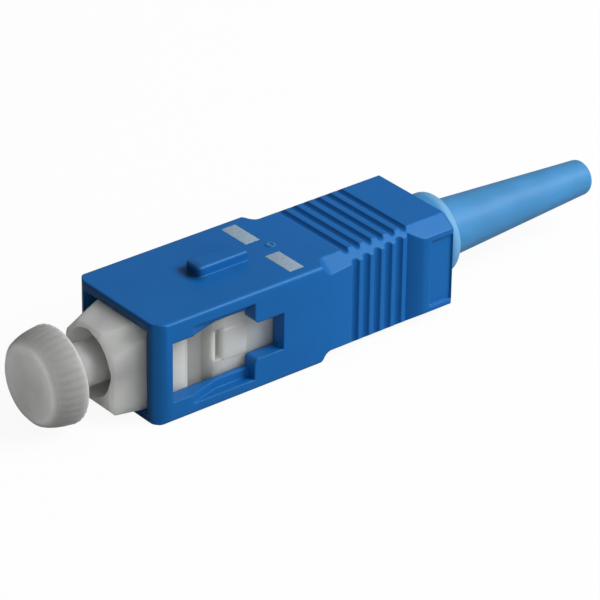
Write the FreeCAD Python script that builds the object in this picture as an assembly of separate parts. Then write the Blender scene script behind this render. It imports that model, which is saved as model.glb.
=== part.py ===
"""Push-pull SC fibre optic connector with a short boot and a dust cap on its ferrule.

Every piece is modelled along the ferrule axis: x = 0 is the front face of the sliding
sleeve, +X runs towards the boot, +Z points at the key, and y = z = 0 is the axis. The
finished pieces are moved so that the origin is at the bottom centre of the whole part.
Sizes are in millimetres.
"""
import FreeCAD, Part
import math
import os
from FreeCAD import Vector

# ---- clearances ----
sleeve_play = 0.10          # plug frame to sleeve cavity, each side
ferrule_play = 0.02         # ferrule to the bore of the cap, radial
seat_play = 0.05            # stop ring to plug frame, barrel to boot, radial
spring_play = 0.15          # spring to the sleeve of the flange inside it, radial
flange_play = 0.12          # ferrule flange to its chamber, radial

# ---- sliding sleeve ----
sleeve_width = 9.0
sleeve_height = 7.4
sleeve_length = 25.2
cavity_width = 6.8
cavity_height = 6.2
cavity_depth = 19.0
front_corner_r = 1.3
long_edge_r = 0.35
front_edge_r = 0.22
rear_edge = 0.25
rear_bore_r = 3.15

# ---- grip at the rear of the sleeve ----
grip_length = 10.7
grip_chamfer_wide = 1.15    # across the top, from the sleeve's side
grip_chamfer_tall = 0.82    # down the side, from the sleeve's top
run_in_length = 1.25
waist_depth = 0.5
rear_land = 2.7
flare_length = 1.2
flare_root = 0.15
flare_dip = 0.25
rib_pitch = 1.0
top_groove_count = 6
side_groove_count = 5
top_groove_rear = 3.86      # centre of the last groove to the sleeve's rear end
side_groove_rear = 4.6
top_groove_r = 0.27
side_groove_r = 0.32
groove_offset = 0.04
panel_length = 1.95
panel_height = 5.0
panel_depth = 0.2
panel_margin = 0.2

# ---- latch windows in the sleeve's sides ----
window_front = 1.3
window_step = 8.0
window_end = 10.4
window_half = 2.2
tail_half = 1.37
window_corner_r = 0.35
pocket_half = 2.85
pocket_front = 3.0
pocket_lip = 0.08
pocket_depth = 0.7
ramp_end = 5.3

# ---- key and moulding mark ----
key_front = 6.2
key_length = 4.1
key_width = 1.5
key_height = 0.7
key_edge = 0.12
key_end_r = 0.35
mark_x = 12.8
mark_r = 0.33
mark_height = 0.05

# ---- plug frame ----
nose_length = 2.2
nose_half = 2.6
nose_top = 2.6
nose_bottom = 2.85
nose_chamfer = 1.3
nose_edge = 0.25
mouth_half = 2.85
frame_chamfer = 0.9
latch_ramp_end = 1.6
latch_shoulder = 3.2
shoulder_break = 0.25
latch_floor_half = 2.75
latch_floor_end = 4.9
land_start = 5.6
land_end = 10.8
land_drop = 0.1
pad_front = 6.35
pad_length = 1.85
pad_low = -1.35
pad_high = 0.9
slot_width = 0.65
slot_depth = 0.5
slot_margin = 0.15
frame_end_gap = 0.4
socket_r = 2.43
web_front = 2.8
web_thickness = 0.7
web_hole_r = 1.65
stop_seat = 12.3
stop_bore_r = 2.45
key_rib_width = 0.6
key_rib_length = 1.1
key_rib_height = 0.55
catch_x = 12.0
catch_length = 1.2
catch_width = 4.0
catch_height = 0.22
slide_back = 1.5
slide_forward = 0.3
catch_gap = 0.1

# ---- ferrule and its flange ----
ferrule_r = 1.25
ferrule_length = 10.5
ferrule_out = 6.9
tip_chamfer = 0.4
fibre_bore_r = 0.063
funnel_length = 1.3
funnel_r = 0.45
flange_r = 2.03
flange_length = 2.0
flange_taper = 0.35
flange_slot_count = 4
flange_sleeve_r = 1.45
flange_sleeve_end = 6.5
guide_r = 0.75
guide_bore_r = 0.5
guide_overlap = 1.6
guide_end = 26.0

# ---- spring ----
wire_r = 0.2
spring_turns = 5.5
wire_sides = 5
end_gap = 0.02

# ---- stop ring ----
collar_r = 2.9
collar_length = 1.0
stop_tail_r = 1.75
stop_tail_end = 26.4
stop_passage_r = 0.95
snap_x = 15.0
snap_length = 1.4
snap_width = 2.2
snap_height = 0.35
tail_groove_count = 2
tail_groove_pitch = 2.2
tail_groove_depth = 0.15

# ---- boot ----
boot_neck_r = 2.5
boot_flange_front = 23.8
boot_flange_r = 2.95
boot_flange_rear = 27.3
boot_flange_edge = 0.3
boot_root_r = 2.1
boot_tip_r = 1.26
boot_end = 41.0
boot_tip_edge = 0.35
cable_bore_r = 0.55
boot_funnel_end = 29.2

# ---- dust cap ----
cap_rear = -4.4
cap_front = -6.9
cap_rear_r = 3.42
cap_mid_r = 3.3
cap_side_r = 3.08
cap_ridge_r = 2.2
cap_rim_length = 0.6
cap_rim_bulge = 0.15
cap_rear_edge = 0.25
cap_tube_r = 1.5
cap_tube_end = 2.2
cap_bore_bottom = 1.4
flute_count = 36
flute_width = 0.3
flute_depth = 0.05

# ---- sizes that follow ----
half_width = sleeve_width / 2
half_height = sleeve_height / 2
grip_start = sleeve_length - grip_length
flare_end = sleeve_length - rear_land
waist_end = flare_end - flare_length
frame_half = cavity_width / 2 - sleeve_play
frame_top = cavity_height / 2 - sleeve_play
frame_end = cavity_depth - frame_end_gap
land_half = frame_half - land_drop
flange_seat = web_front + web_thickness
ferrule_tip = flange_seat - ferrule_out
chamber_r = flange_r + flange_play
spring_mean_r = flange_sleeve_r + spring_play + wire_r
spring_front = flange_seat + flange_length
centre_x = (cap_front + boot_end) / 2


def wire_of(start, moves, place):
    """Closed wire from a start point and moves: (u, v) is a line, ((u, v), (u, v)) an arc through."""
    edges = []
    here = start
    for move in list(moves) + [start]:
        if isinstance(move[0], tuple):
            middle, there = move
            edges.append(Part.Arc(place(*here), place(*middle), place(*there)).toShape())
        else:
            there = move
            if math.dist(here, there) > 1e-9:
                edges.append(Part.makeLine(place(*here), place(*there)))
        here = there
    return Part.Wire(edges)


def prism_z(start, moves, low, high):
    """Solid between two heights from an outline given as x, y."""
    wire = wire_of(start, moves, lambda x, y: Vector(x, y, low))
    return Part.Face(wire).extrude(Vector(0, 0, high - low))


def prism_x(start, moves, front, rear):
    """Solid between two stations along the axis from a section given as y, z."""
    wire = wire_of(start, moves, lambda y, z: Vector(front, y, z))
    return Part.Face(wire).extrude(Vector(rear - front, 0, 0))


def prism_y(start, moves, near, far):
    """Solid across the part from an outline given as x, z."""
    wire = wire_of(start, moves, lambda x, z: Vector(x, near, z))
    return Part.Face(wire).extrude(Vector(0, far - near, 0))


def turned(start, moves):
    """Solid of revolution about the ferrule axis from a profile given as x, radius."""
    wire = wire_of(start, moves, lambda x, r: Vector(x, 0, r))
    return Part.Face(wire).revolve(Vector(0, 0, 0), Vector(1, 0, 0), 360)


def rod(radius, front, rear):
    """Cylinder on the ferrule axis."""
    return Part.makeCylinder(radius, rear - front, Vector(front, 0, 0), Vector(1, 0, 0))


def block(x0, x1, y0, y1, z0, z1):
    """Box between two corners."""
    return Part.makeBox(x1 - x0, y1 - y0, z1 - z0, Vector(x0, y0, z0))


def corner(centre_u, centre_v, radius, angle):
    """Point on a circle in a profile's plane, with the angle in degrees."""
    turn = math.radians(angle)
    return (centre_u + radius * math.cos(turn), centre_v + radius * math.sin(turn))


def round_rect(u0, u1, v, r):
    """Rectangle from u0 to u1 and -v to v with rounded corners, as a start and moves."""
    start = (u0 + r, -v)
    moves = [(u1 - r, -v), (corner(u1 - r, -v + r, r, -45), (u1, -v + r)),
             (u1, v - r), (corner(u1 - r, v - r, r, 45), (u1 - r, v)),
             (u0 + r, v), (corner(u0 + r, v - r, r, 135), (u0, v - r)),
             (u0, -v + r), (corner(u0 + r, -v + r, r, 225), (u0 + r, -v))]
    return start, moves


def waist_half(x):
    """Half width of the grip at a station: it narrows in a straight line to the waist."""
    share = (x - grip_start) / (waist_end - grip_start)
    return half_width - waist_depth * share


# ---------------------------------------------------------------- sliding sleeve
def sleeve_plan():
    """Outline of the sleeve from above: round front corners, waist and rear flare."""
    r = front_corner_r
    waist = waist_half(waist_end)
    root = (waist_end + flare_root, waist - flare_dip)
    bulge = ((root[0] + flare_end) / 2, root[1] + 0.6 * (half_width - root[1]))
    upper = [(0, half_width - r), (corner(r, half_width - r, r, 135), (r, half_width)),
             (grip_start, half_width), (waist_end, waist), root,
             (bulge, (flare_end, half_width)), (sleeve_length, half_width)]
    lower = [(sleeve_length, -half_width), (flare_end, -half_width),
             ((bulge[0], -bulge[1]), (root[0], -root[1])), (waist_end, -waist),
             (grip_start, -half_width), (r, -half_width),
             (corner(r, -half_width + r, r, 225), (0, -half_width + r))]
    return prism_z((0, -half_width + r), upper + lower, -half_height, half_height)


def grip_edge_cutter(side, top):
    """Tool for one chamfered long edge of the grip, with an S-shaped run-in at its front."""
    slant = math.hypot(grip_chamfer_wide, grip_chamfer_tall)
    out_y = grip_chamfer_tall / slant
    out_z = grip_chamfer_wide / slant
    out = Vector(0, side * out_y, top * out_z)
    along = Vector(0, side * out_z, -top * out_y)
    rise = grip_chamfer_wide * out_y
    depth = half_width * out_y + half_height * out_z - rise
    reach = depth + 2 * rise
    front = grip_start - run_in_length
    rear = sleeve_length + 1
    half_turn = math.degrees(math.atan(rise / run_in_length))
    r = run_in_length / 2 / math.sin(math.radians(2 * half_turn))
    place = lambda x, d: Vector(x, 0, 0) + out * d - along * sleeve_height
    start = (grip_start, depth)
    moves = [(rear, depth), (rear, reach), (front, reach), (front, depth + rise),
             (corner(front, depth + rise - r, r, 90 - half_turn),
              (grip_start - run_in_length / 2, depth + rise / 2)),
             (corner(grip_start, depth + r, r, 270 - half_turn), (grip_start, depth))]
    face = Part.Face(wire_of(start, moves, place))
    return face.extrude(along * 2 * sleeve_height)


def grip_grooves():
    """Round grooves across the top and bottom and down both sides of the grip."""
    tools = []
    for i in range(top_groove_count):
        x = sleeve_length - top_groove_rear - i * rib_pitch
        for top in (1, -1):
            foot = Vector(x, -half_width, top * (half_height + groove_offset))
            tools.append(Part.makeCylinder(top_groove_r, sleeve_width, foot, Vector(0, 1, 0)))
    for i in range(side_groove_count):
        x = sleeve_length - side_groove_rear - i * rib_pitch
        for side in (1, -1):
            foot = Vector(x, side * (waist_half(x) + groove_offset), -half_height)
            tools.append(Part.makeCylinder(side_groove_r, sleeve_height, foot, Vector(0, 0, 1)))
    return tools


def latch_window(side):
    """Tools for one side: the stepped window and the ramped pocket round it."""
    r = window_corner_r
    inner = cavity_width / 4
    outer = half_width + 1
    start = (window_front, -window_half)
    moves = [(window_step, -window_half), (window_step, -tail_half - r),
             (corner(window_step + r, -tail_half - r, r, 135), (window_step + r, -tail_half)),
             (window_end, -tail_half), (window_end, tail_half), (window_step + r, tail_half),
             (corner(window_step + r, tail_half + r, r, 225), (window_step, tail_half + r)),
             (window_step, window_half), (window_front, window_half)]
    window = prism_y(start, moves, side * inner, side * outer)
    start = (pocket_front, side * outer)
    moves = [(pocket_front, side * (half_width - pocket_lip)),
             (ramp_end, side * (half_width - pocket_depth)),
             (window_step, side * (half_width - pocket_depth)), (window_step, side * outer)]
    return [window, prism_z(start, moves, -pocket_half, pocket_half)]


def side_panel(side):
    """Tool for the shallow panel on one side of the grip's rear end."""
    rear = sleeve_length - panel_margin
    floor = side * (half_width - panel_depth)
    outer = side * (half_width + 1)
    near, far = sorted((floor, outer))
    return block(rear - panel_length, rear, near, far, -panel_height / 2, panel_height / 2)


def sleeve_key():
    """Keying rib on top of the sleeve, with a round front end and broken top edges."""
    low = cavity_height / 2 + 0.3 * (half_height - cavity_height / 2)
    top = half_height + key_height
    start = (key_front + key_end_r, -key_width / 2)
    half = key_width / 2
    moves = [(key_front + key_length, -half), (key_front + key_length, half),
             (key_front + key_end_r, half),
             (corner(key_front + key_end_r, half - key_end_r, key_end_r, 135),
              (key_front, half - key_end_r)),
             (key_front, key_end_r - half),
             (corner(key_front + key_end_r, key_end_r - half, key_end_r, 225), start)]
    rib = prism_z(start, moves, low, top)
    return rib.makeChamfer(key_edge, [e for e in rib.Edges if e.BoundBox.ZMin > half_height])


def moulding_mark():
    """Small raised ring on top of the sleeve."""
    foot = Vector(mark_x, 0, half_height - mark_height)
    disc = Part.makeCylinder(mark_r, 2 * mark_height, foot)
    return disc.cut(Part.makeCylinder(mark_r / 2, 3 * mark_height, foot))


def outer_housing():
    """Sliding sleeve: a square tube with a ribbed grip, two latch windows and a key."""
    start, moves = round_rect(-half_width, half_width, half_height, long_edge_r)
    shell = sleeve_plan().common(prism_x(start, moves, 0, sleeve_length))
    start, moves = round_rect(0, sleeve_length + 1, half_height, front_edge_r)
    shell = shell.common(prism_y(start, moves, -half_width, half_width))
    shell = shell.cut([grip_edge_cutter(side, top) for side in (1, -1) for top in (1, -1)])
    rim = [e for e in shell.Edges if e.BoundBox.XMin > sleeve_length - rear_edge]
    shell = shell.makeChamfer(rear_edge, rim)
    tools = grip_grooves() + latch_window(1) + latch_window(-1)
    tools += [side_panel(1), side_panel(-1)]
    shell = shell.fuse([sleeve_key(), moulding_mark()]).removeSplitter()
    shell = shell.cut(tools)
    cavity = block(-1, cavity_depth, -cavity_width / 2, cavity_width / 2,
                   -cavity_height / 2, cavity_height / 2)
    shell = shell.cut([cavity, rod(rear_bore_r, cavity_depth - 1, sleeve_length + 1)])
    pocket_low = cavity_height / 2
    pocket_top = frame_top + catch_height + catch_gap
    front = catch_x - slide_back - catch_gap
    rear = catch_x + catch_length + slide_forward + catch_gap
    half = catch_width / 2 + catch_gap
    upper = block(front, rear, -half, half, pocket_low - 1, pocket_top)
    lower = block(front, rear, -half, half, -pocket_top, -pocket_low + 1)
    return shell.cut([upper, lower])


# ---------------------------------------------------------------- plug frame
def frame_section(half, top, bottom, chamfer):
    """Points of the frame's section: its two upper corners are cut off at 45 degrees."""
    return [(half, -bottom), (half, top - chamfer), (half - chamfer, top),
            (chamfer - half, top), (-half, top - chamfer), (-half, -bottom)]


def frame_nose():
    """Tapered nose from the tip to the sleeve's mouth, with its front edges broken."""
    tip = frame_section(nose_half - nose_edge, nose_top - nose_edge, nose_bottom - nose_edge,
                        nose_chamfer - nose_edge / 2)
    stations = ((-nose_length, tip),
                (nose_edge - nose_length, frame_section(nose_half, nose_top, nose_bottom,
                                                        nose_chamfer)),
                (0, frame_section(mouth_half, frame_top, frame_top, frame_chamfer)))
    wires = []
    for x, points in stations:
        wires.append(wire_of(points[0], points[1:], lambda y, z: Vector(x, y, z)))
    return Part.makeLoft(wires, True, True)


def frame_plan():
    """Outline of the frame from above: entry ramp, latch shoulder, floor and side lands."""
    break_end = latch_shoulder + shoulder_break
    side = [(0, mouth_half), (latch_ramp_end, frame_half), (latch_shoulder, frame_half),
            (break_end, frame_half - shoulder_break / 2), (break_end, latch_floor_half),
            (latch_floor_end, latch_floor_half), (land_start, land_half),
            (land_end, land_half), (land_end, frame_half), (frame_end, frame_half)]
    other = [(x, -y) for x, y in reversed(side)]
    return prism_z(side[0], side[1:] + other, -half_height, half_height)


def latch_pad(side):
    """One side's raised pad behind the latch floor, and the tool for the slot before it."""
    low, high = sorted((side * (land_half - land_drop), side * frame_half))
    pad = block(pad_front, pad_front + pad_length, low, high, pad_low, pad_high)
    low, high = sorted((side * (land_half - slot_depth), side * half_width))
    slot = block(pad_front - slot_width, pad_front, low, high,
                 pad_low + slot_margin, pad_high + slot_margin)
    return pad, slot


def plug_frame():
    """Inner housing: it holds the ferrule, its spring and the stop ring, and it latches."""
    extra = frame_half - mouth_half
    points = frame_section(frame_half, frame_top, frame_top, frame_chamfer + extra)
    body = prism_x(points[0], points[1:], 0, frame_end).common(frame_plan())
    pads, slots = zip(latch_pad(1), latch_pad(-1))
    body = body.fuse([frame_nose(), *pads]).cut(slots)
    catches = []
    for top in (1, -1):
        low, high = sorted((top * (frame_top - catch_gap), top * (frame_top + catch_height)))
        catches.append(block(catch_x, catch_x + catch_length, -catch_width / 2,
                             catch_width / 2, low, high))
    body = body.fuse(catches).removeSplitter()
    body = body.cut([rod(socket_r, -nose_length - 1, web_front),
                     rod(web_hole_r, web_front - 1, flange_seat + 1),
                     rod(chamber_r, flange_seat, stop_seat),
                     rod(stop_bore_r, stop_seat, frame_end + 1)])
    slot = snap_width + 2 * seat_play
    windows = block(snap_x - seat_play, snap_x + snap_length + 2 * seat_play,
                    -slot / 2, slot / 2, -half_height, half_height)
    ribs = []
    for top in (1, -1):
        low, high = sorted((top * (chamber_r - key_rib_height), top * (chamber_r + 0.2)))
        ribs.append(block(flange_seat - 0.1, flange_seat + key_rib_length,
                          -key_rib_width / 2, key_rib_width / 2, low, high))
    return body.cut(windows).fuse(ribs).removeSplitter()


# ---------------------------------------------------------------- ferrule and what carries it
def ferrule():
    """Ceramic ferrule with a chamfered tip, the fibre bore and a funnel at its rear."""
    rear = ferrule_tip + ferrule_length
    start = (ferrule_tip, fibre_bore_r)
    moves = [(ferrule_tip, ferrule_r - tip_chamfer * 0.6), (ferrule_tip + tip_chamfer, ferrule_r),
             (rear, ferrule_r), (rear, funnel_r), (rear - funnel_length, fibre_bore_r)]
    return turned(start, moves)


def ferrule_flange():
    """Flange pressed on the ferrule: key slots, spring seat and a tail for the guide tube."""
    rear = ferrule_tip + ferrule_length
    tail = flange_seat + flange_sleeve_end
    seat = flange_seat + flange_length
    start = (flange_seat, ferrule_r)
    moves = [(flange_seat, flange_r - flange_taper), (flange_seat + flange_taper, flange_r),
             (seat, flange_r), (seat, flange_sleeve_r), (tail, flange_sleeve_r),
             (tail, guide_r), (tail - guide_overlap, guide_r), (tail - guide_overlap, guide_bore_r),
             (rear, guide_bore_r), (rear, ferrule_r)]
    body = turned(start, moves)
    half = key_rib_width / 2 + flange_play
    floor = chamber_r - key_rib_height - flange_play
    slots = []
    for i in range(flange_slot_count):
        slot = block(flange_seat - 1, seat + 1, -half, half, floor, flange_r + 1)
        slots.append(slot.rotate(Vector(0, 0, 0), Vector(1, 0, 0), 360 * i / flange_slot_count))
    return body.cut(slots)


def guide_tube():
    """Thin tube that leads the fibre from the boot into the flange."""
    front = flange_seat + flange_sleeve_end - guide_overlap
    return rod(guide_r, front, guide_end).cut(rod(guide_bore_r, front - 1, guide_end + 1))


def spring():
    """Compression spring between the flange and the stop ring."""
    front = spring_front + wire_r + end_gap
    length = stop_seat - wire_r - end_gap - front
    helix = Part.makeHelix(length / spring_turns, length, spring_mean_r)
    ring = []
    for i in range(wire_sides + 1):
        turn = 2 * math.pi * i / wire_sides
        ring.append(Vector(spring_mean_r + wire_r * math.cos(turn), 0, wire_r * math.sin(turn)))
    coil = Part.Wire(helix.Edges).makePipeShell([Part.makePolygon(ring)], True, True)
    coil.rotate(Vector(0, 0, 0), Vector(0, 1, 0), 90)
    coil.translate(Vector(front, 0, 0))
    return coil


def stop_ring():
    """Rear body: it closes the spring chamber, snaps into the frame and carries the boot."""
    nose_r = stop_bore_r - seat_play
    collar_end = frame_end + collar_length
    start = (stop_seat, stop_passage_r)
    moves = [(stop_seat, nose_r), (frame_end, nose_r), (frame_end, collar_r),
             (collar_end, collar_r), (collar_end, stop_tail_r), (stop_tail_end, stop_tail_r),
             (stop_tail_end, stop_passage_r)]
    body = turned(start, moves)
    snaps = []
    for top in (1, -1):
        low, high = sorted((top * nose_r / 2, top * (nose_r + snap_height)))
        snaps.append(block(snap_x, snap_x + snap_length, -snap_width / 2, snap_width / 2,
                           low, high))
    body = body.fuse(snaps).cut(rod(stop_passage_r, stop_seat - 1, stop_tail_end + 1))
    rings = []
    for i in range(tail_groove_count):
        x = collar_end + tail_groove_pitch * (i + 0.7)
        ring = rod(stop_tail_r + 1, x, x + tail_groove_pitch / 3)
        rings.append(ring.cut(rod(stop_tail_r - tail_groove_depth, x - 1, x + tail_groove_pitch)))
    return body.cut(rings)


# ---------------------------------------------------------------- boot and dust cap
def boot():
    """Soft bend-relief boot: neck, round flange and a smooth tapered tube."""
    neck_front = frame_end + collar_length
    bore_r = stop_tail_r + seat_play
    bore_end = stop_tail_end + 2 * seat_play
    e = boot_flange_edge
    t = boot_tip_edge
    profile = [(neck_front, bore_r), (neck_front, boot_neck_r), (boot_flange_front, boot_neck_r),
               (boot_flange_front, boot_flange_r), (boot_flange_rear - e, boot_flange_r),
               (boot_flange_rear, boot_flange_r - e), (boot_flange_rear, boot_root_r),
               (boot_end - t, boot_tip_r), (boot_end, boot_tip_r - t), (boot_end, cable_bore_r),
               (boot_funnel_end, cable_bore_r), (bore_end, bore_r)]
    return turned(profile[0], profile[1:])


def cap_profile():
    """Outline of the cap's head from the ridge round its face to its rear face."""
    front = cap_front + cap_rim_length
    rear = cap_rear - cap_rear_edge
    shoulder = ((cap_front + front) / 2 - cap_rim_bulge,
                (cap_ridge_r + cap_side_r) / 2 + cap_rim_bulge)
    return [(cap_front, cap_ridge_r), shoulder, (front, cap_side_r),
            ((front + rear) / 2, cap_mid_r), (rear, cap_rear_r),
            (cap_rear, cap_rear_r - cap_rear_edge)]


def cap_flute():
    """Tool for one flute: a long wedge laid along the side of the head, point inwards."""
    profile = cap_profile()
    front, rear = profile[2], profile[4]
    slope = (rear[1] - front[1]) / (rear[0] - front[0])
    rise = slope * 2 * cap_rim_length
    wires = []
    for x, r in ((front[0] - 2 * cap_rim_length, front[1] - rise),
                 (rear[0] + 2 * cap_rim_length, rear[1] + rise)):
        point = (0, r - flute_depth / 2)
        sides = [(flute_width, r + 1.5 * flute_depth), (-flute_width, r + 1.5 * flute_depth)]
        wires.append(wire_of(point, sides, lambda y, z: Vector(x, y, z)))
    return Part.makeLoft(wires, True, True)


def dust_cap():
    """Dust cap: a fluted head and a thin tube that grips the ferrule."""
    bore = ferrule_r + ferrule_play
    bottom = cap_front + cap_bore_bottom
    profile = [(cap_front, 0)] + cap_profile()
    profile += [(cap_rear, cap_tube_r), (cap_tube_end, cap_tube_r), (cap_tube_end, bore),
                (bottom, bore), (bottom, 0)]
    flute = cap_flute()
    cutters = []
    for i in range(flute_count):
        cutter = flute.copy()
        cutter.rotate(Vector(0, 0, 0), Vector(1, 0, 0), 360 * i / flute_count)
        cutters.append(cutter)
    return turned(profile[0], profile[1:]).cut(cutters)


def main():
    """Build every piece, move it to the part's own frame and write it."""
    os.makedirs("parts", exist_ok=True)
    pieces = {"outer_housing": outer_housing, "plug_frame": plug_frame, "ferrule": ferrule,
              "ferrule_flange": ferrule_flange, "guide_tube": guide_tube, "spring": spring,
              "stop_ring": stop_ring, "boot": boot, "dust_cap": dust_cap}
    for name, make in pieces.items():
        shape = make()
        shape.translate(Vector(-centre_x, 0, half_height))
        shape.exportStep(f"parts/{name}.step")
        box = shape.BoundBox
        print(name, "solids", len(shape.Solids), "valid", shape.isValid(),
              "volume %.2f" % shape.Volume,
              "x %.2f..%.2f y %.2f..%.2f z %.2f..%.2f" % (box.XMin, box.XMax, box.YMin,
                                                         box.YMax, box.ZMin, box.ZMax))


main()
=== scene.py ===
"""Studio scene for a push-pull SC fibre connector with a short boot and a dust cap.

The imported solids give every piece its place. The sleeve and the inner housing are smoothed
copies of their own solids, and the cap, the boot, the printed bars and the spring are surfaces
worked out on a grid. The ferrule, its flange, the guide tube and the stop ring keep their
solids and get their finishes here.
"""

import math

import bmesh
import bpy
import numpy as np
from bpy.props import FloatProperty, FloatVectorProperty, IntProperty, PointerProperty
from mathutils import Matrix, Vector


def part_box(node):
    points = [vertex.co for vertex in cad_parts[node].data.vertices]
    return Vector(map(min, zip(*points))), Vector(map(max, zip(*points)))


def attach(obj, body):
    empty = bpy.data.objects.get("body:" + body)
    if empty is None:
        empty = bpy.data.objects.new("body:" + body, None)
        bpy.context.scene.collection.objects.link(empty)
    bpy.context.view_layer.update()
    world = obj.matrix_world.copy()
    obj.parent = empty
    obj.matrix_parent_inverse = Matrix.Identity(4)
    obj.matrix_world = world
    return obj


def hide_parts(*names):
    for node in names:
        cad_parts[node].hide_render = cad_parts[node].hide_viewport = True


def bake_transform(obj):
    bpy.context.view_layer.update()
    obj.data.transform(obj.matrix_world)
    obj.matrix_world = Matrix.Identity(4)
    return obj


bl_info = {
    "name": "Fibre connector studio",
    "version": (1, 0, 0),
    "blender": (4, 5, 0),
    "location": "View3D > Sidebar > Connector",
    "description": "Builds the looks and the stage of an SC fibre connector round its solids",
    "category": "Object",
}

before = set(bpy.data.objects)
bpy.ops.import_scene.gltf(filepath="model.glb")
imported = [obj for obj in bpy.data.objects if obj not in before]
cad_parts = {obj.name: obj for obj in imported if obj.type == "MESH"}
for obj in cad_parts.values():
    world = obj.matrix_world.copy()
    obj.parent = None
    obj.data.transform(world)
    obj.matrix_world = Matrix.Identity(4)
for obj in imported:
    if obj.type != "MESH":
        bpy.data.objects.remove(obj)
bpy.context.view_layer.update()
MM = 0.001

CAP_LOW, CAP_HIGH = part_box("dust_cap")
BOOT_LOW, BOOT_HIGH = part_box("boot")
SLEEVE_LOW, SLEEVE_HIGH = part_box("outer_housing")
AXIS_Z = (BOOT_LOW.z + BOOT_HIGH.z) / 2

CLOUD_SIZE = 2.2 * MM
GRAIN_SIZE = 0.06 * MM
GRAIN_DEPTH = 0.004 * MM


# ------------------------------------------------------------------ settings
def length(name, text, value):
    """A size in metres, given here in millimetres."""
    return FloatProperty(name=name, description=text, default=value * MM, min=0, unit="LENGTH",
                         precision=6)


def shift(name, text, value):
    """A slide to either side in metres, given here in millimetres."""
    return FloatProperty(name=name, description=text, default=value * MM, unit="LENGTH",
                         precision=6)


def angle(name, text, value):
    """An angle in radians, given here in degrees."""
    return FloatProperty(name=name, description=text, default=math.radians(value),
                         subtype="ANGLE")


def amount(name, text, value, least=0.0):
    """A plain number."""
    return FloatProperty(name=name, description=text, default=value, min=least)


def colour(name, text, value):
    """A plain colour, in linear values."""
    return FloatVectorProperty(name=name, description=text, default=value, size=3, min=0, max=1,
                               subtype="COLOR")


class SleeveSettings(bpy.types.PropertyGroup):
    """Look of the sliding sleeve, and sizes of the marks printed on it."""
    body: colour("Body", "Colour of the moulded sleeve", (0.0065, 0.114, 0.37))
    edge_round: length("Edge round", "Radius that softens every moulded edge", 0.18)
    ink: colour("Ink", "Colour of the two printed bars", (0.3, 0.4, 0.49))
    ink_thickness: length("Ink thickness", "Height of the printed bars above the top", 0.015)
    bar_start: length("Bar start", "From the sleeve's front face to the bars", 11.5)
    bar_length: length("Bar length", "Length of a bar along the sleeve", 1.2)
    bar_inner: length("Bar inner end", "From the middle of the top to a bar's inner end", 1.0)
    bar_outer: length("Bar outer end", "From the middle of the top to a bar's outer end", 3.7)
    key_height: length("Key height", "From the top face up to the top of the key", 0.7)
    key_start: length("Key start", "From the sleeve's front face to the front of the key", 6.2)
    # Painted shade: the blue is painted darker round the foot of the key within this reach.
    foot_shade_reach: length("Key foot", "Reach of the dark tone round the foot of the key", 1.0)
    ring_x: length("Ring", "From the sleeve's front face to the small moulded ring", 12.8)
    ring_r: length("Ring radius", "Outer radius of the small moulded ring", 0.42)
    # Painted shade: the front rim of the sleeve is painted darker over this width.
    rim: length("Rim", "Width of the darker rim round the front face", 0.25)
    # Painted light: over this span the blue is painted paler towards the rear.
    painted_light_start: length("Fade start", "From the front face to where the blue turns paler", 8.0)
    painted_light_end: length("Fade end", "From the front face to where the blue is palest", 20.0)


class FrameSettings(bpy.types.PropertyGroup):
    """Look of the inner housing. The places are taken from the sleeve's front face."""
    body: colour("Body", "Colour of the inner housing", (0.59, 0.605, 0.56))
    edge_round: length("Edge round", "Radius that softens every moulded edge", 0.1)
    # The sunk span below carries a painted shade and the pad span a painted light.
    sunk_start: length("Sunk start", "Front of the sunk wall behind the window", 3.1)
    sunk_end: length("Sunk end", "Where the sunk wall starts to rise again", 5.3)
    pad_start: length("Pad start", "Front of the raised pad in the window", 6.2)
    pad_end: length("Pad end", "Rear of the raised pad in the window", 8.0)
    shade_start: length("Shade start", "Where the window is narrow and the sleeve shades it", 8.0)
    # This radius bounds a painted light: the housing is painted brighter within it, where the
    # recess round the cap's tube is seen.
    bore_r: length("Bore", "Radius up to which the wall round the bore is thin", 2.3)


class CapSettings(bpy.types.PropertyGroup):
    """Shape and look of the dust cap."""
    body: colour("Body", "Colour of the cap", (0.82, 0.825, 0.805))
    ridge_r: length("Ridge", "Radius of the ridge round the face", 2.5)
    shoulder_r: length("Shoulder", "Radius at the rounded shoulder", 2.95)
    front_r: length("Front", "Radius where the fluted side starts", 3.08)
    middle_r: length("Middle", "Radius halfway along the side", 3.28)
    tube_r: length("Tube", "Outer radius of the thin tube", 1.5)
    bore_r: length("Bore", "Radius of the bore over the ferrule", 1.27)
    head_length: length("Head", "Length of the fluted head", 2.5)
    bottom: length("Bottom", "Thickness of the head in front of the bore", 1.4)
    shoulder_x: length("Shoulder place", "From the face to the rounded shoulder", 0.3)
    side_x: length("Side place", "From the face to where the fluted side starts", 0.6)
    ridge_half: length("Ridge width", "Half the width of the ridge round the face", 0.08)
    dish: length("Dish", "Depth of the shallow dish in the face", 0.2)
    dish_slope: length("Dish slope", "Width of the slope from the dish up to the ridge", 0.4)
    flutes: IntProperty(name="Flutes", description="Flutes round the head", default=36, min=3)
    flute_depth: length("Flute depth", "Depth of a flute", 0.045)


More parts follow.
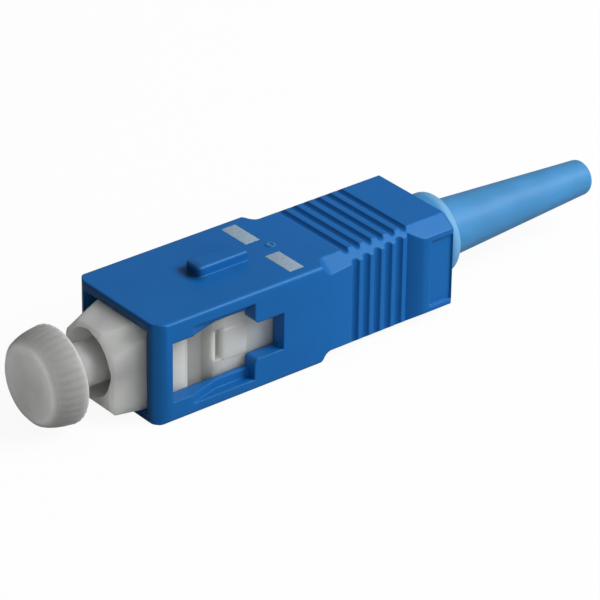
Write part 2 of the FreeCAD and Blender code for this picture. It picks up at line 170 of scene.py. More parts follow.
class BootSettings(bpy.types.PropertyGroup):
    """Shape and look of the boot."""
    body: colour("Body", "Colour of the boot", (0.06, 0.255, 0.52))
    neck_r: length("Neck", "Radius of the neck inside the sleeve", 2.5)
    neck_length: length("Neck length", "Length of the neck", 4.2)
    flange_end: length("Flange end", "From the boot's front to the rear face of its flange", 7.7)
    flange_round: length("Flange round", "Radius of the flange's rear edge", 0.45)
    root_r: length("Root", "Radius of the tube where it leaves the flange", 2.1)
    tip_r: length("Tip", "Radius of the tube at its end", 1.26)
    tip_round: length("Tip round", "Radius of the tube's end edge", 0.45)
    bore_r: length("Bore", "Radius of the cable's bore", 0.55)
    bore_length: length("Bore length", "From the tube's end to the front of the bore", 11.8)
    socket_r: length("Socket", "Radius of the socket over the stop ring's tail", 1.8)
    socket_length: length("Socket length", "From the boot's front to the socket's end", 6.9)


class MetalSettings(bpy.types.PropertyGroup):
    """Looks of the pieces inside, and sizes of the spring's wire."""
    ceramic: colour("Ceramic", "Colour of the ferrule", (0.8, 0.78, 0.73))
    flange: colour("Flange", "Colour of the turned flange", (0.55, 0.54, 0.52))
    spring: colour("Spring", "Colour of the spring wire", (0.45, 0.45, 0.46))
    wire_r: length("Wire radius", "Radius of the spring wire", 0.2)
    turns: amount("Turns", "Turns of the spring", 5.5, least=1.0)
    tubing: colour("Tubing", "Colour of the guide tube", (0.7, 0.7, 0.67))
    stop: colour("Stop ring", "Colour of the stop ring", (0.5, 0.51, 0.5))


class StageSettings(bpy.types.PropertyGroup):
    """Camera, lamps and floor."""
    azimuth: angle("Azimuth", "Turn of the camera round the part", -39.19)
    elevation: angle("Elevation", "Height of the camera's view", 29.24)
    roll: angle("Roll", "Roll of the camera", 0.86)
    distance: length("Distance", "From the camera to the point it circles", 249.99)
    aim: length("Aim", "From the sleeve's front face to the point it circles", 13.0)
    right: shift("Right", "Slide of the camera to its right", 1.848)
    up: shift("Up", "Slide of the camera upwards", -0.485)
    lens: amount("Lens", "Focal length in millimetres", 224.79)
    key_power: amount("Key", "Power of the key lamp", 3.4)
    fill_power: amount("Fill", "Power of the fill lamp", 1.05)
    ambient: amount("Ambient", "Strength of the surroundings", 0.24)
    floor: colour("Floor", "Colour of the floor as seen", (0.9, 0.9, 0.9))
    bounce: colour("Bounce", "Colour of the floor in the light it throws back", (0.38, 0.38, 0.38))


# ------------------------------------------------------------------ shader maths
class Wire:
    """A node's output that takes part in plain arithmetic by adding Math nodes."""

    def __init__(self, graph, socket):
        self.graph = graph
        self.socket = socket

    def maths(self, operation, *values):
        return self.graph.node("ShaderNodeMath", {"operation": operation}, values)

    def __add__(self, other):
        return self.maths("ADD", self, other)

    __radd__ = __add__

    def __sub__(self, other):
        return self.maths("SUBTRACT", self, other)

    def __rsub__(self, other):
        return self.maths("SUBTRACT", other, self)

    def __mul__(self, other):
        return self.maths("MULTIPLY", self, other)

    __rmul__ = __mul__

    def __pow__(self, other):
        return self.maths("POWER", self, other)

    def ramp(self, low, high):
        """0 below low, 1 above high and a smooth rise between them."""
        settings = {"interpolation_type": "SMOOTHSTEP"}
        return self.graph.node("ShaderNodeMapRange", settings,
                               {"Value": self, "From Min": low, "From Max": high})

    def sway(self, scale):
        """How far the wire is from a half, times a scale."""
        return (self - 0.5) * scale

    def band(self, rise, full, fall, end):
        """1 from full to fall, with a smooth rise before it and a smooth fall down to end."""
        return self.ramp(rise, full) * (1 - self.ramp(fall, end))


class Graph:
    """A material's nodes, round one Principled shader."""

    def __init__(self, name, **constants):
        self.material = bpy.data.materials.new(name)
        self.material.use_nodes = True
        self.tree = self.material.node_tree
        self.tree.nodes.clear()
        self.output = self.tree.nodes.new("ShaderNodeOutputMaterial")
        self.shader = self.tree.nodes.new("ShaderNodeBsdfPrincipled")
        self.tree.links.new(self.shader.outputs[0], self.output.inputs["Surface"])
        for socket, value in constants.items():
            self.shader.inputs[socket.replace("_", " ")].default_value = value
        self.place = self.node("ShaderNodeTexCoord", {}, {}, "Object")

    def node(self, kind, settings, values, out=0):
        """Adds a node: its settings first, then its inputs by place or by name."""
        made = self.tree.nodes.new(kind)
        for key, value in settings.items():
            setattr(made, key, value)
        pairs = values.items() if isinstance(values, dict) else enumerate(values)
        for key, value in pairs:
            self.feed(made.inputs[key], value)
        return Wire(self, made.outputs[out])

    def feed(self, socket, value):
        """Links a wire to a socket, or sets its value."""
        if isinstance(value, Wire):
            self.tree.links.new(value.socket, socket)
        else:
            socket.default_value = value

    def set(self, socket, value):
        """Feeds one input of the Principled shader."""
        self.feed(self.shader.inputs[socket], value)

    def noise(self, size, detail=2.0, rough=0.5, place=None):
        """Noise from 0 to 1 whose blobs are about the given size in metres."""
        return self.node("ShaderNodeTexNoise", {"noise_dimensions": "3D"},
                         {"Vector": place or self.place, "Scale": 1 / size, "Detail": detail,
                          "Roughness": rough}, "Fac")

    def stretched(self, x, y, z):
        """Object coordinates stretched along each axis."""
        return self.node("ShaderNodeMapping", {}, {"Vector": self.place, "Scale": (x, y, z)})

    def axes(self):
        """Object coordinates as three wires."""
        split = self.tree.nodes.new("ShaderNodeSeparateXYZ")
        self.feed(split.inputs[0], self.place)
        return [Wire(self, socket) for socket in split.outputs]

    def off_axis(self):
        """Square of the distance from the ferrule axis, as y^2 + (z - axis height)^2."""
        _, y, z = self.axes()
        height = z - AXIS_Z
        return y * y + height * height

    def blend(self, share, first, second):
        """Colour that goes from the first to the second by a share."""
        made = self.tree.nodes.new("ShaderNodeMix")
        made.data_type = "RGBA"
        colours = [s for s in made.inputs if s.type == "RGBA"]
        self.feed(made.inputs[0], share)
        for socket, value in zip(colours, (first, second)):
            self.feed(socket, value if isinstance(value, Wire) else (*value, 1))
        return Wire(self, next(s for s in made.outputs if s.type == "RGBA"))

    def soften(self, radius, height=None, depth=0.0):
        """Rounds the edges in the shading, and lays a fine relief over them."""
        normal = self.node("ShaderNodeBevel", {"samples": 12}, {"Radius": radius})
        if height is not None:
            normal = self.node("ShaderNodeBump", {},
                               {"Height": height, "Distance": depth, "Strength": 1.0,
                                "Normal": normal})
        self.set("Normal", normal)


def shaded(base, share):
    """A colour scaled by a share."""
    return tuple(min(1.0, c * share) for c in base)


def clouded(g, clouds, base, depth=0.025):
    """The base colour, a little darker and paler by soft clouds."""
    return g.blend(clouds.ramp(0.3, 0.7), shaded(base, 1 - depth), shaded(base, 1 + depth))


def satin_skin(g, base, edge_round):
    """Skin of a satin moulding: slight clouding, a fine spark-eroded grain and faint handling
    streaks that change its gloss. It sets all but the colour, which it returns."""
    clouds = g.noise(CLOUD_SIZE, detail=3.0)
    grain = g.noise(GRAIN_SIZE, rough=0.6)
    streaks = g.noise(0.5 * MM, rough=0.6, place=g.stretched(0.25, 1.0, 1.0))
    g.set("Roughness", 0.36 + streaks.sway(0.14) + grain.sway(0.08))
    g.soften(edge_round, grain, GRAIN_DEPTH)
    specks = grain.ramp(0.62, 0.8) * 0.06
    return g.blend(specks, clouded(g, clouds, base), shaded(base, 1.15))


def moulded_plastic(name, base, edge_round):
    """Plain satin plastic for the pieces inside."""
    g = Graph(name, Specular_IOR_Level=0.22)
    g.set("Base Color", satin_skin(g, base, edge_round))
    return g.material


# ------------------------------------------------------------------ surfaces
def surface(name, points, closed=False):
    """Mesh object from a grid of points with shape (rows, columns, 3). In a closed grid the
    last column joins the first."""
    rows, columns, _ = points.shape
    row, column = np.meshgrid(np.arange(rows - 1), np.arange(columns if closed else columns - 1),
                              indexing="ij")
    here, below = row * columns, (row + 1) * columns
    beside = (column + 1) % columns
    quads = np.stack([here + column, below + column, below + beside, here + beside],
                     axis=-1).reshape(-1, 4)
    mesh = bpy.data.meshes.new(name)
    mesh.vertices.add(rows * columns)
    mesh.vertices.foreach_set("co", points.reshape(-1).astype(np.float32))
    mesh.loops.add(len(quads) * 4)
    mesh.loops.foreach_set("vertex_index", quads.reshape(-1).astype(np.int32))
    mesh.polygons.add(len(quads))
    mesh.polygons.foreach_set("loop_start", np.arange(0, len(quads) * 4, 4, dtype=np.int32))
    mesh.update(calc_edges=True)
    return tidy_piece(name, mesh)


def tidy_piece(name, mesh, merge=1e-7, sharp=35):
    """Object from a mesh: doubles merged, faces pointing out, smooth but for sharp edges."""
    work = bmesh.new()
    work.from_mesh(mesh)
    bmesh.ops.remove_doubles(work, verts=work.verts, dist=merge)
    bmesh.ops.dissolve_degenerate(work, edges=work.edges, dist=merge)
    bmesh.ops.recalc_face_normals(work, faces=work.faces)
    for face in work.faces:
        face.smooth = True
    for edge in work.edges:
        edge.smooth = len(edge.link_faces) == 2 and edge.calc_face_angle(0) < math.radians(sharp)
    work.to_mesh(mesh)
    work.free()
    piece = bpy.data.objects.new(name, mesh)
    bpy.context.scene.collection.objects.link(piece)
    return piece


def smooth_copy(name, node):
    """Copy of a solid with its loose triangles joined, so that round faces shade smoothly."""
    return tidy_piece(name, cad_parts[node].data.copy(), merge=1e-6, sharp=28)


def rounded_profile(corners, steps=8, spacing=0.25 * MM):
    """Profile through corners (x, r, radius): each corner is an arc tangent to both of its
    runs, where the arc's tangent length is radius / tan(half the corner's angle), and the
    straight runs are divided evenly."""
    straight = math.radians(89.5)
    margin = 1e-4  # so that a run of whole spacings keeps all its parts
    corners = np.asarray(corners, float)
    line = [corners[0, :2]]
    for before, here, after in zip(corners[:-2], corners[1:-1], corners[2:]):
        into = (before[:2] - here[:2]) / np.linalg.norm(before[:2] - here[:2])
        out = (after[:2] - here[:2]) / np.linalg.norm(after[:2] - here[:2])
        half = math.acos(np.clip(into @ out, -1, 1)) / 2
        if here[2] <= 0 or half > straight:
            line.append(here[:2])
            continue
        bisector = (into + out) / np.linalg.norm(into + out)
        centre = here[:2] + bisector * here[2] / math.sin(half)
        reach = here[2] / math.tan(half)
        start, end = here[:2] + into * reach - centre, here[:2] + out * reach - centre
        sweep = math.pi - 2 * half
        share = np.linspace(0, 1, steps)[:, None]
        arc = (np.sin((1 - share) * sweep) * start + np.sin(share * sweep) * end) / math.sin(sweep)
        line.extend(centre + arc)
    line.append(corners[-1, :2])
    line = np.array(line)
    pieces = []
    for a, b in zip(line[:-1], line[1:]):
        count = max(1, int(np.linalg.norm(b - a) / spacing + margin))
        pieces.append(a + (b - a) * np.arange(count)[:, None] / count)
    return np.concatenate(pieces + [line[-1:]])


def turned(name, profile, around, relief=None):
    """Surface of revolution: a point at (x, r) of the profile goes to
    (x, r cos t, r sin t + axis height), where relief(x, r, t) is taken off r first."""
    t = np.linspace(0, 2 * math.pi, around, endpoint=False)[None, :]
    x = profile[:, :1] + 0 * t
    r = profile[:, 1:] + 0 * t
    if relief is not None:
        r = r - relief(x, r, t)
    points = [x, r * np.cos(t), AXIS_Z + r * np.sin(t)]
    return surface(name, np.stack(points, axis=-1), closed=True)


def smoothstep(value, low, high):
    """0 below low, 1 above high, and 3s^2 - 2s^3 between them."""
    s = np.clip((value - low) / (high - low), 0, 1)
    return s * s * (3 - 2 * s)


def dress(piece, material, body, slot, *nodes):
    """Gives a new piece its material and its body, and hides the solids it stands for. The slot is
    not used.
    """
    piece.data.materials.clear()
    piece.data.materials.append(material)
    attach(piece, body)
    if nodes:
        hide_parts(*nodes)


def finish_node(node, material):
    """Gives a solid that stays as it is a finish of its own."""
    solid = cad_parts[node]
    if not solid.data.materials:
        solid.data.materials.append(material)
    for slot in solid.material_slots:
        slot.material = material


# ------------------------------------------------------------------ pieces
class CONNECTOR_OT_sleeve(bpy.types.Operator):
    """Build the sliding sleeve as a smooth copy of its solid"""
    bl_idname = "connector.sleeve"
    bl_label = "Sliding sleeve"

    def execute(self, context):
        piece = smooth_copy("sleeve_shell", "outer_housing")
        dress(piece, sleeve_plastic(context.scene.sleeve_settings), "housing", "blue_plastic",
              "outer_housing")
        return {"FINISHED"}


def sleeve_plastic(s):
    """Blue satin plastic with light and shade painted into its colour: a painted light that grows
    towards the rear, a painted shade along the front rim and round the foot of the key, and a
    painted highlight on the small moulded ring."""
    g = Graph("blue satin plastic", Specular_IOR_Level=0.27, Specular_Tint=(0.5, 0.85, 1.0, 1.0))
    x, y, z = g.axes()
    along = x - SLEEVE_LOW.x
    height = z - (SLEEVE_HIGH.z - s.key_height)
    # Distance from the key's front foot, for the painted shade there.
    foot_x, ring_x = along - s.key_start, along - s.ring_x
    foot = (foot_x * foot_x + y * y * 0.5 + height * height * 0.6) ** 0.5
    ring = (ring_x * ring_x + y * y + height * height) ** 0.5
    # pale is the painted light colour for the rear; dark is the painted shade colour for the front
    # rim and the key's foot.
    pale, dark = shaded(s.body, 1.15), shaded(s.body, 0.1)
    tone = satin_skin(g, s.body, s.edge_round)
    # Painted light: paler towards the rear.
    tone = g.blend(along.ramp(s.painted_light_start, s.painted_light_end) * 0.7, tone, pale)
    # Painted shade: darker along the front rim.
    tone = g.blend((1 - along.ramp(0.02 * MM, s.rim)) * 0.65, tone, dark)
    # Painted shade round the foot of the key.
    tone = g.blend((1 - foot.ramp(s.foot_shade_reach / 4, s.foot_shade_reach)) * 0.7, tone, dark)
    # Painted highlight: the small moulded ring is painted a paler blue.
    ring_highlight = 1 - ring.ramp(s.ring_r - 0.12 * MM, s.ring_r)
    g.set("Base Color", g.blend(ring_highlight * 0.2, tone, (0.15, 0.4, 0.65)))
    return g.material


class CONNECTOR_OT_bars(bpy.types.Operator):
    """Print the two pale bars on top of the sleeve"""
    bl_idname = "connector.bars"
    bl_label = "Printed bars"

    def execute(self, context):
        s = context.scene.sleeve_settings
        material = pad_ink(s.ink)
        top = SLEEVE_HIGH.z - s.key_height
        front = SLEEVE_LOW.x + s.bar_start
        for side, name in ((1, "bar_left"), (-1, "bar_right")):
            piece = ink_pad(name, (front, front + s.bar_length),
                            sorted((side * s.bar_inner, side * s.bar_outer)),
                            (top - s.ink_thickness, top + s.ink_thickness))
            dress(piece, material, "housing", "blue_plastic")
        return {"FINISHED"}


def ink_pad(name, xs, ys, zs, rim=0.05 * MM):
    """Thin slab on a grid: its height falls to the base along its rim, as
    height = base + thickness * min(1, distance to the nearest side / rim)^0.5."""
    share = np.linspace(0, 1, 4)
    x, y = (np.concatenate([low + rim * share, high - rim * share[::-1]])
            for low, high in (xs, ys))
    gx, gy = np.meshgrid(x, y, indexing="ij")
    inside = np.minimum.reduce([gx - xs[0], xs[1] - gx, gy - ys[0], ys[1] - gy])
    height = zs[0] + (zs[1] - zs[0]) * np.sqrt(np.clip(inside / rim, 0, 1))
    return surface(name, np.stack([gx, gy, height], axis=-1))


def pad_ink(base):
    """Pad-printed ink: a thin, slightly mottled film that lets a little of the blue through."""
    g = Graph("pale pad print", Specular_IOR_Level=0.3, Roughness=0.5)
    mottle = g.noise(0.09 * MM, detail=3.0, rough=0.6)
    g.set("Base Color", g.blend(mottle.ramp(0.35, 0.75), shaded(base, 0.82), shaded(base, 1.15)))
    g.soften(0.03 * MM, mottle, 0.003 * MM)
    return g.material


class CONNECTOR_OT_inner_housing(bpy.types.Operator):
    """Build the inner housing as a smooth copy of its solid"""
    bl_idname = "connector.inner_housing"
    bl_label = "Inner housing"

    def execute(self, context):
        piece = smooth_copy("inner_housing", "plug_frame")
        dress(piece, frame_plastic(context.scene.frame_settings), "core", "off_white_plastic",
              "plug_frame")
        return {"FINISHED"}


def frame_plastic(s):
    """Off-white plastic that lets some light through, with light and shade painted into its
    colour: a painted shade on the sunk wall behind the window, a painted light on the pad, bluer
    in the shade of the sleeve, and a painted light on all of it within the bore radius of the
    axis, where the recess round the cap's tube is seen."""
    g = Graph("off-white plastic", Specular_IOR_Level=0.3, Subsurface_Weight=1.0,
              Subsurface_Scale=4.5 * MM, Subsurface_Radius=(1.0, 1.0, 0.9))
    clouds = g.noise(CLOUD_SIZE, detail=3.0)
    grain = g.noise(GRAIN_SIZE, rough=0.6)
    along = g.axes()[0] - SLEEVE_LOW.x
    # Painted shade: the sunk wall behind the window is painted darker.
    sunk = along.band(s.sunk_start, s.sunk_start + 0.2 * MM, s.sunk_end, s.sunk_end + 1.0 * MM)
    # Painted light: the raised pad in the window is painted paler.
    pad = along.band(s.pad_start, s.pad_start + 0.3 * MM, s.pad_end, s.pad_end + 0.3 * MM)
    shade = along.ramp(s.shade_start, s.shade_start + 1.6 * MM)
    # Painted light: brighter within the bore radius of the axis, where the recess round the cap's
    # tube is seen.
    bore = 1 - g.off_axis().ramp(s.bore_r ** 2, (s.bore_r + 0.25 * MM) ** 2)
    red, green, blue = s.body
    tone = clouded(g, clouds, s.body)
    # Painted shade on the sunk wall.
    tone = g.blend(sunk * 0.55, tone, shaded(s.body, 0.3))
    # Painted light on the pad.
    tone = g.blend(pad * 0.5, tone, shaded(s.body, 1.3))
    tone = g.blend(shade * 0.35, tone, (red * 0.8, green, blue * 1.25))
    # Painted light round the bore.
    g.set("Base Color", g.blend(bore, tone, shaded(s.body, 1.45)))
    g.set("Roughness", 0.42 + clouds.sway(0.14) + grain.sway(0.08))
    g.soften(s.edge_round, grain, GRAIN_DEPTH)
    return g.material


class CONNECTOR_OT_dust_cap(bpy.types.Operator):
    """Turn the dust cap with its fluted head, thin tube and bore"""
    bl_idname = "connector.dust_cap"
    bl_label = "Dust cap"

    def execute(self, context):
        s = context.scene.cap_settings
        front, rear_r = CAP_LOW.x, (CAP_HIGH.z - CAP_LOW.z) / 2
        back, tube_end = front + s.head_length, CAP_HIGH.x
        middle = (front + back) / 2
        profile = rounded_profile([
            # the dished face and the ridge round it
            (front + s.dish * 0.6, 0, 0),
            (front + s.dish, s.ridge_r - s.dish_slope, 0.4 * MM),
            (front, s.ridge_r - s.ridge_half, 0.08 * MM),
            (front, s.ridge_r + s.ridge_half, 0.08 * MM),
            # the shoulder, the fluted side and the head's rear face
            (front + s.shoulder_x, s.shoulder_r, 0.25 * MM),
            (front + s.side_x, s.front_r, 1.0 * MM),
            (middle, s.middle_r, 3.0 * MM),
            (back - 0.05 * MM, rear_r, 0.22 * MM),
            (back, rear_r - 0.4 * MM, 0.2 * MM),
            # the tube and the bore in it
            (back, s.tube_r, 0.1 * MM),
            (tube_end, s.tube_r, 0.06 * MM),
            (tube_end, s.bore_r, 0.06 * MM),
            (front + s.bottom, s.bore_r, 0.05 * MM),
            (front + s.bottom, 0, 0)], spacing=0.12 * MM)
        head_r = 1.6 * s.tube_r

        def flutes(x, r, t):
            """Flutes of depth * (1 - |sin(n t / 2)|^1.5), faded at both ends, and none in the
            bore."""
            wave = 1 - np.abs(np.sin(s.flutes * t / 2)) ** 1.5
            ends = smoothstep(x, front + 0.15 * MM, front + 0.8 * MM)
            ends = ends * (1 - smoothstep(x, back - 0.25 * MM, back))
            return s.flute_depth * wave * ends * (r > head_r)

        piece = turned("fluted_cap", profile, around=14 * s.flutes, relief=flutes)
        dress(piece, cap_plastic(s), "cap", "cap_plastic", "dust_cap")
        return {"FINISHED"}


def cap_plastic(s):
    """Translucent polyethylene: light spreads inside it, and its skin is waxy and even. Outside
    its ridge the head is painted darker, a painted shade over the shoulder and the fluted side."""
    g = Graph("translucent cap plastic", Specular_IOR_Level=0.12, Subsurface_Weight=1.0,
              Subsurface_Scale=3.0 * MM, Subsurface_Radius=(1.0, 1.0, 1.0))
    clouds = g.noise(1.4 * MM, detail=3.0)
    grain = g.noise(0.08 * MM, rough=0.6)
    out = g.off_axis() ** 0.5
    # Painted shade: the shoulder and fluted side outside the ridge are painted darker.
    side_shade = out.ramp(s.ridge_r - 0.05 * MM, s.ridge_r + 0.6 * MM)
    g.set("Base Color", g.blend(side_shade, clouded(g, clouds, s.body, 0.05), shaded(s.body, 0.38)))
    g.set("Roughness", 0.42 + clouds.sway(0.12))
    g.soften(0.03 * MM, grain, 0.003 * MM)
    return g.material


class CONNECTOR_OT_boot(bpy.types.Operator):
    """Turn the soft boot: neck, flange, tapered tube and cable bore"""
    bl_idname = "connector.boot"
    bl_label = "Boot"

    def execute(self, context):
        s = context.scene.boot_settings
        front, end = BOOT_LOW.x, BOOT_HIGH.x
        flange_r = (BOOT_HIGH.z - BOOT_LOW.z) / 2
        neck_end, flange_end = front + s.neck_length, front + s.flange_end
        profile = rounded_profile([
            # the neck in the sleeve and the flange behind it
            (front, s.socket_r, 0), (front, s.neck_r, 0.05 * MM),
            (neck_end, s.neck_r, 0.05 * MM), (neck_end, flange_r, 0.1 * MM),
            (flange_end, flange_r, s.flange_round), (flange_end, s.root_r, 0.12 * MM),
            # the tapered tube, the cable's bore and the socket
            (end, s.tip_r, s.tip_round), (end, s.bore_r, 0.08 * MM),
            (end - s.bore_length, s.bore_r, 0), (front + s.socket_length, s.socket_r, 0),
            (front, s.socket_r, 0)], steps=10, spacing=0.3 * MM)
        piece = turned("tapered_boot", profile, around=160)
        material = boot_elastomer(s.body, flange_end, flange_r)
        dress(piece, material, "core", "boot_elastomer", "boot")
        return {"FINISHED"}


def boot_elastomer(base, rim_x, rim_r):
    """Soft elastomer: even colour, a matt skin with faint flow lines along the tube, and a painted
    highlight on the rim round the flange's rear edge at (rim_x, rim_r)."""
    g = Graph("pale blue elastomer", Specular_IOR_Level=0.22, Subsurface_Weight=0.4,
              Subsurface_Scale=2.0 * MM)
    clouds = g.noise(2.5 * MM, detail=3.0)
    flow = g.noise(0.35 * MM, rough=0.6, place=g.stretched(0.12, 1.0, 1.0))
    grain = g.noise(0.07 * MM, rough=0.6)
    x, out = g.axes()[0], g.off_axis() ** 0.5
    # Painted highlight: the rim round the flange's rear edge is painted paler.
    rim = (x.ramp(rim_x - 1.0 * MM, rim_x - 0.5 * MM)
           * out.ramp(rim_r - 0.7 * MM, rim_r - 0.4 * MM))
    g.set("Base Color", g.blend(rim * 0.35, clouded(g, clouds, base, 0.05), (0.3, 0.6, 0.8)))
    g.set("Roughness", 0.46 + flow.sway(0.16))
    g.soften(0.05 * MM, grain + flow * 0.6, GRAIN_DEPTH)
    return g.material


class CONNECTOR_OT_inside(bpy.types.Operator):
    """Wind the spring, and give the ferrule, flange, guide tube and stop ring their finishes"""
    bl_idname = "connector.inside"
    bl_label = "Pieces inside"

    def execute(self, context):
        s = context.scene.metal_settings
        finish_node("ferrule", ceramic(s.ceramic))
        finish_node("ferrule_flange", turned_metal("turned flange", s.flange))
        low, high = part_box("spring")
        outer = (high.y - low.y) / 2
        piece = coil("spring_coil", low.x, high.x, outer, s.wire_r, s.turns)
        piece.data.materials.append(turned_metal("spring wire", s.spring))
        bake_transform(piece)
        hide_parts("spring")
        finish_node("guide_tube", moulded_plastic("clear tubing", s.tubing, 0.03 * MM))
        finish_node("stop_ring", moulded_plastic("white stop plastic", s.stop, 0.06 * MM))
        return {"FINISHED"}


def coil(name, front, back, outer, wire_r, turns, steps=40, sides=14):
    """Compression spring: round wire carried along a helix. At turn a and wire angle v the
    radius is outer - wire + wire cos v, and the place along the axis runs evenly from front
    to back, plus wire sin v. The wire shrinks to a point at both ends."""
    a = np.linspace(0, 2 * math.pi * turns, int(turns * steps))
    a = np.concatenate([a[:1], a, a[-1:]])[:, None]
    wire = np.full_like(a, wire_r)
    wire[[0, -1]] = 0
    v = np.linspace(0, 2 * math.pi, sides, endpoint=False)[None, :]
    radius = outer - wire_r + wire * np.cos(v)
    run = back - front - 2 * wire_r
    x = front + wire_r + run * a / (2 * math.pi * turns) + wire * np.sin(v)
    points = [x, radius * np.sin(a), AXIS_Z - radius * np.cos(a)]
    return surface(name, np.stack(points, axis=-1), closed=True)


def ceramic(base):
    """Polished zirconia with the faintest clouding and polishing lines round it."""
    g = Graph("polished zirconia", Specular_IOR_Level=0.6, Subsurface_Weight=0.1,
              Subsurface_Scale=0.3 * MM)
    clouds = g.noise(0.8 * MM)
    lines = g.noise(0.05 * MM, place=g.stretched(1.0, 0.2, 0.2))
    g.set("Base Color", g.blend(clouds, shaded(base, 0.97), shaded(base, 1.03)))
    g.set("Roughness", 0.12 + lines * 0.08)
    g.soften(0.03 * MM, lines, 0.001 * MM)
    return g.material


def turned_metal(name, base):
    """Turned or drawn metal: fine lines across its length that break up its gloss."""
    g = Graph(name, Metallic=1.0)
    lines = g.noise(0.04 * MM, detail=3.0, rough=0.6, place=g.stretched(1.0, 0.1, 0.1))
    stains = g.noise(0.9 * MM, detail=3.0)
    g.set("Base Color", g.blend(stains.ramp(0.4, 0.75), base, shaded(base, 0.85)))
    g.set("Roughness", 0.26 + lines * 0.14)
    g.soften(0.03 * MM, lines, 0.002 * MM)
    return g.material


# ------------------------------------------------------------------ stage
class CONNECTOR_OT_stage(bpy.types.Operator):
    """Lay the floor, hang the lamps and set up the camera"""
    bl_idname = "connector.stage"
    bl_label = "Stage"

    def execute(self, context):
        s = context.scene.stage_settings
        context.scene.view_settings.view_transform = "Standard"
        lay_floor(s)
        light_world(context.scene, s)
        hang_lamp("key", towards=(0.5, -0.55, 0.67), distance=0.55, size=0.36,
                  power=s.key_power)
        hang_lamp("fill", towards=(-0.35, -0.9, 0.2), distance=0.7, size=0.5,
                  power=s.fill_power)
        place_camera(context.scene, s)
        return {"FINISHED"}


def lay_floor(s):
    """Plain pale floor just under the part. The camera sees it nearly white, and the light it
    throws back is dimmer."""
    half, gap, glow = 0.6, 0.02 * MM, 0.93
    xs = np.linspace(-half, half, 9)
    gx, gy = np.meshgrid(xs, xs, indexing="ij")
    floor = surface("floor", np.stack([gx, gy, 0 * gx - gap], axis=-1))
    g = Graph("pale floor", Specular_IOR_Level=0.0, Roughness=0.9)
    speckle = g.noise(8 * MM)
    rays = g.tree.nodes.new("ShaderNodeLightPath")
    seen = Wire(g, rays.outputs["Is Camera Ray"])
    tone = g.blend(speckle, shaded(s.floor, 0.995), s.floor)
    g.set("Base Color", g.blend(seen, s.bounce, tone))
    white = g.node("ShaderNodeEmission", {}, {"Color": (1, 1, 1, 1), "Strength": 1.0})
    mixed = g.node("ShaderNodeMixShader", {}, [seen * glow, Wire(g, g.shader.outputs[0]), white])
    g.tree.links.new(mixed.socket, g.output.inputs["Surface"])
    floor.data.materials.append(g.material)


def light_world(scene, s):
    """Even surroundings, white where the camera sees them, also through clear material."""
    world = bpy.data.worlds.new("surroundings")
    world.use_nodes = True
    scene.world = world
    nodes, links = world.node_tree.nodes, world.node_tree.links
    background = nodes["Background"]
    rays = nodes.new("ShaderNodeLightPath")
    seen = nodes.new("ShaderNodeMath")
    seen.operation = "MAXIMUM"
    links.new(rays.outputs["Is Camera Ray"], seen.inputs[0])
    links.new(rays.outputs["Is Transmission Ray"], seen.inputs[1])
    strength = nodes.new("ShaderNodeMapRange")
    links.new(seen.outputs[0], strength.inputs["Value"])
    strength.inputs["To Min"].default_value = s.ambient
    strength.inputs["To Max"].default_value = 1.0
    links.new(strength.outputs[0], background.inputs["Strength"])
    background.inputs["Color"].default_value = (1, 1, 1, 1)


def hang_lamp(name, towards, distance, size, power):
    """Square soft box in the given direction from the part, turned to face it."""
    data = bpy.data.lights.new(name, "AREA")
    data.shape = "SQUARE"
    data.size = size
    data.energy = power
    lamp = bpy.data.objects.new(name, data)
    away = Vector(towards).normalized()
    lamp.location = away * distance + Vector((0, 0, AXIS_Z))
    lamp.rotation_mode = "QUATERNION"
    lamp.rotation_quaternion = away.to_track_quat("Z", "Y")
    bpy.context.scene.collection.objects.link(lamp)


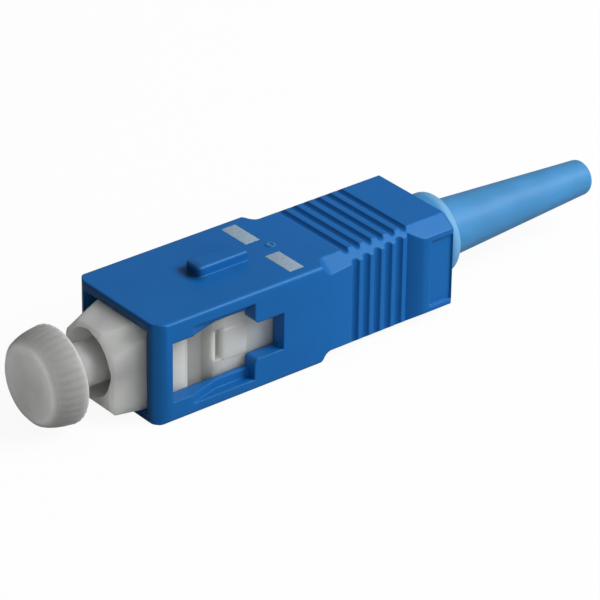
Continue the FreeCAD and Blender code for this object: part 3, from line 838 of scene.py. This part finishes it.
def place_camera(scene, s):
    """Camera on a circle round a point on the ferrule axis, slid sideways and rolled."""
    a, e = s.azimuth, s.elevation
    back = Vector((math.sin(a) * math.cos(e), -math.cos(a) * math.cos(e), math.sin(e)))
    right = (-back).cross(Vector((0, 0, 1))).normalized()
    up = right.cross(-back)
    right, up = (right * math.cos(s.roll) + up * math.sin(s.roll),
                 up * math.cos(s.roll) - right * math.sin(s.roll))
    target = Vector((SLEEVE_LOW.x + s.aim, 0, AXIS_Z))
    data = bpy.data.cameras.new("camera")
    data.lens = s.lens
    data.sensor_width = 36
    data.clip_start, data.clip_end = 0.01, 10
    camera = bpy.data.objects.new("camera", data)
    turn = Matrix((right, up, back)).transposed()
    place = target + back * s.distance + right * s.right + up * s.up
    camera.matrix_world = Matrix.Translation(place) @ turn.to_4x4()
    scene.collection.objects.link(camera)
    scene.camera = camera


# ------------------------------------------------------------------ panel and run
class CONNECTOR_PT_panel(bpy.types.Panel):
    """Lists the builders of the connector's pieces"""
    bl_idname = "CONNECTOR_PT_panel"
    bl_label = "Fibre connector"
    bl_space_type = "VIEW_3D"
    bl_region_type = "UI"
    bl_category = "Connector"

    def draw(self, context):
        for operator in OPERATORS:
            self.layout.operator(operator.bl_idname)
        for name in SETTINGS:
            box = self.layout.box()
            group = getattr(context.scene, name)
            for key in group.__annotations__:
                box.prop(group, key)


SETTINGS = {"sleeve_settings": SleeveSettings, "frame_settings": FrameSettings,
            "cap_settings": CapSettings, "boot_settings": BootSettings,
            "metal_settings": MetalSettings, "stage_settings": StageSettings}
OPERATORS = (CONNECTOR_OT_sleeve, CONNECTOR_OT_bars, CONNECTOR_OT_inner_housing,
             CONNECTOR_OT_dust_cap, CONNECTOR_OT_boot, CONNECTOR_OT_inside, CONNECTOR_OT_stage)


def register():
    for group in SETTINGS.values():
        bpy.utils.register_class(group)
    for name, group in SETTINGS.items():
        setattr(bpy.types.Scene, name, PointerProperty(type=group))
    for operator in OPERATORS:
        bpy.utils.register_class(operator)
    bpy.utils.register_class(CONNECTOR_PT_panel)


def unregister():
    bpy.utils.unregister_class(CONNECTOR_PT_panel)
    for operator in reversed(OPERATORS):
        bpy.utils.unregister_class(operator)
    for name in SETTINGS:
        delattr(bpy.types.Scene, name)
    for group in SETTINGS.values():
        bpy.utils.unregister_class(group)


def main():
    """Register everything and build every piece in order."""
    register()
    for operator in OPERATORS:
        group, name = operator.bl_idname.split(".")
        getattr(getattr(bpy.ops, group), name)()
    bpy.context.view_layer.update()


if __name__ == "__main__":
    main()
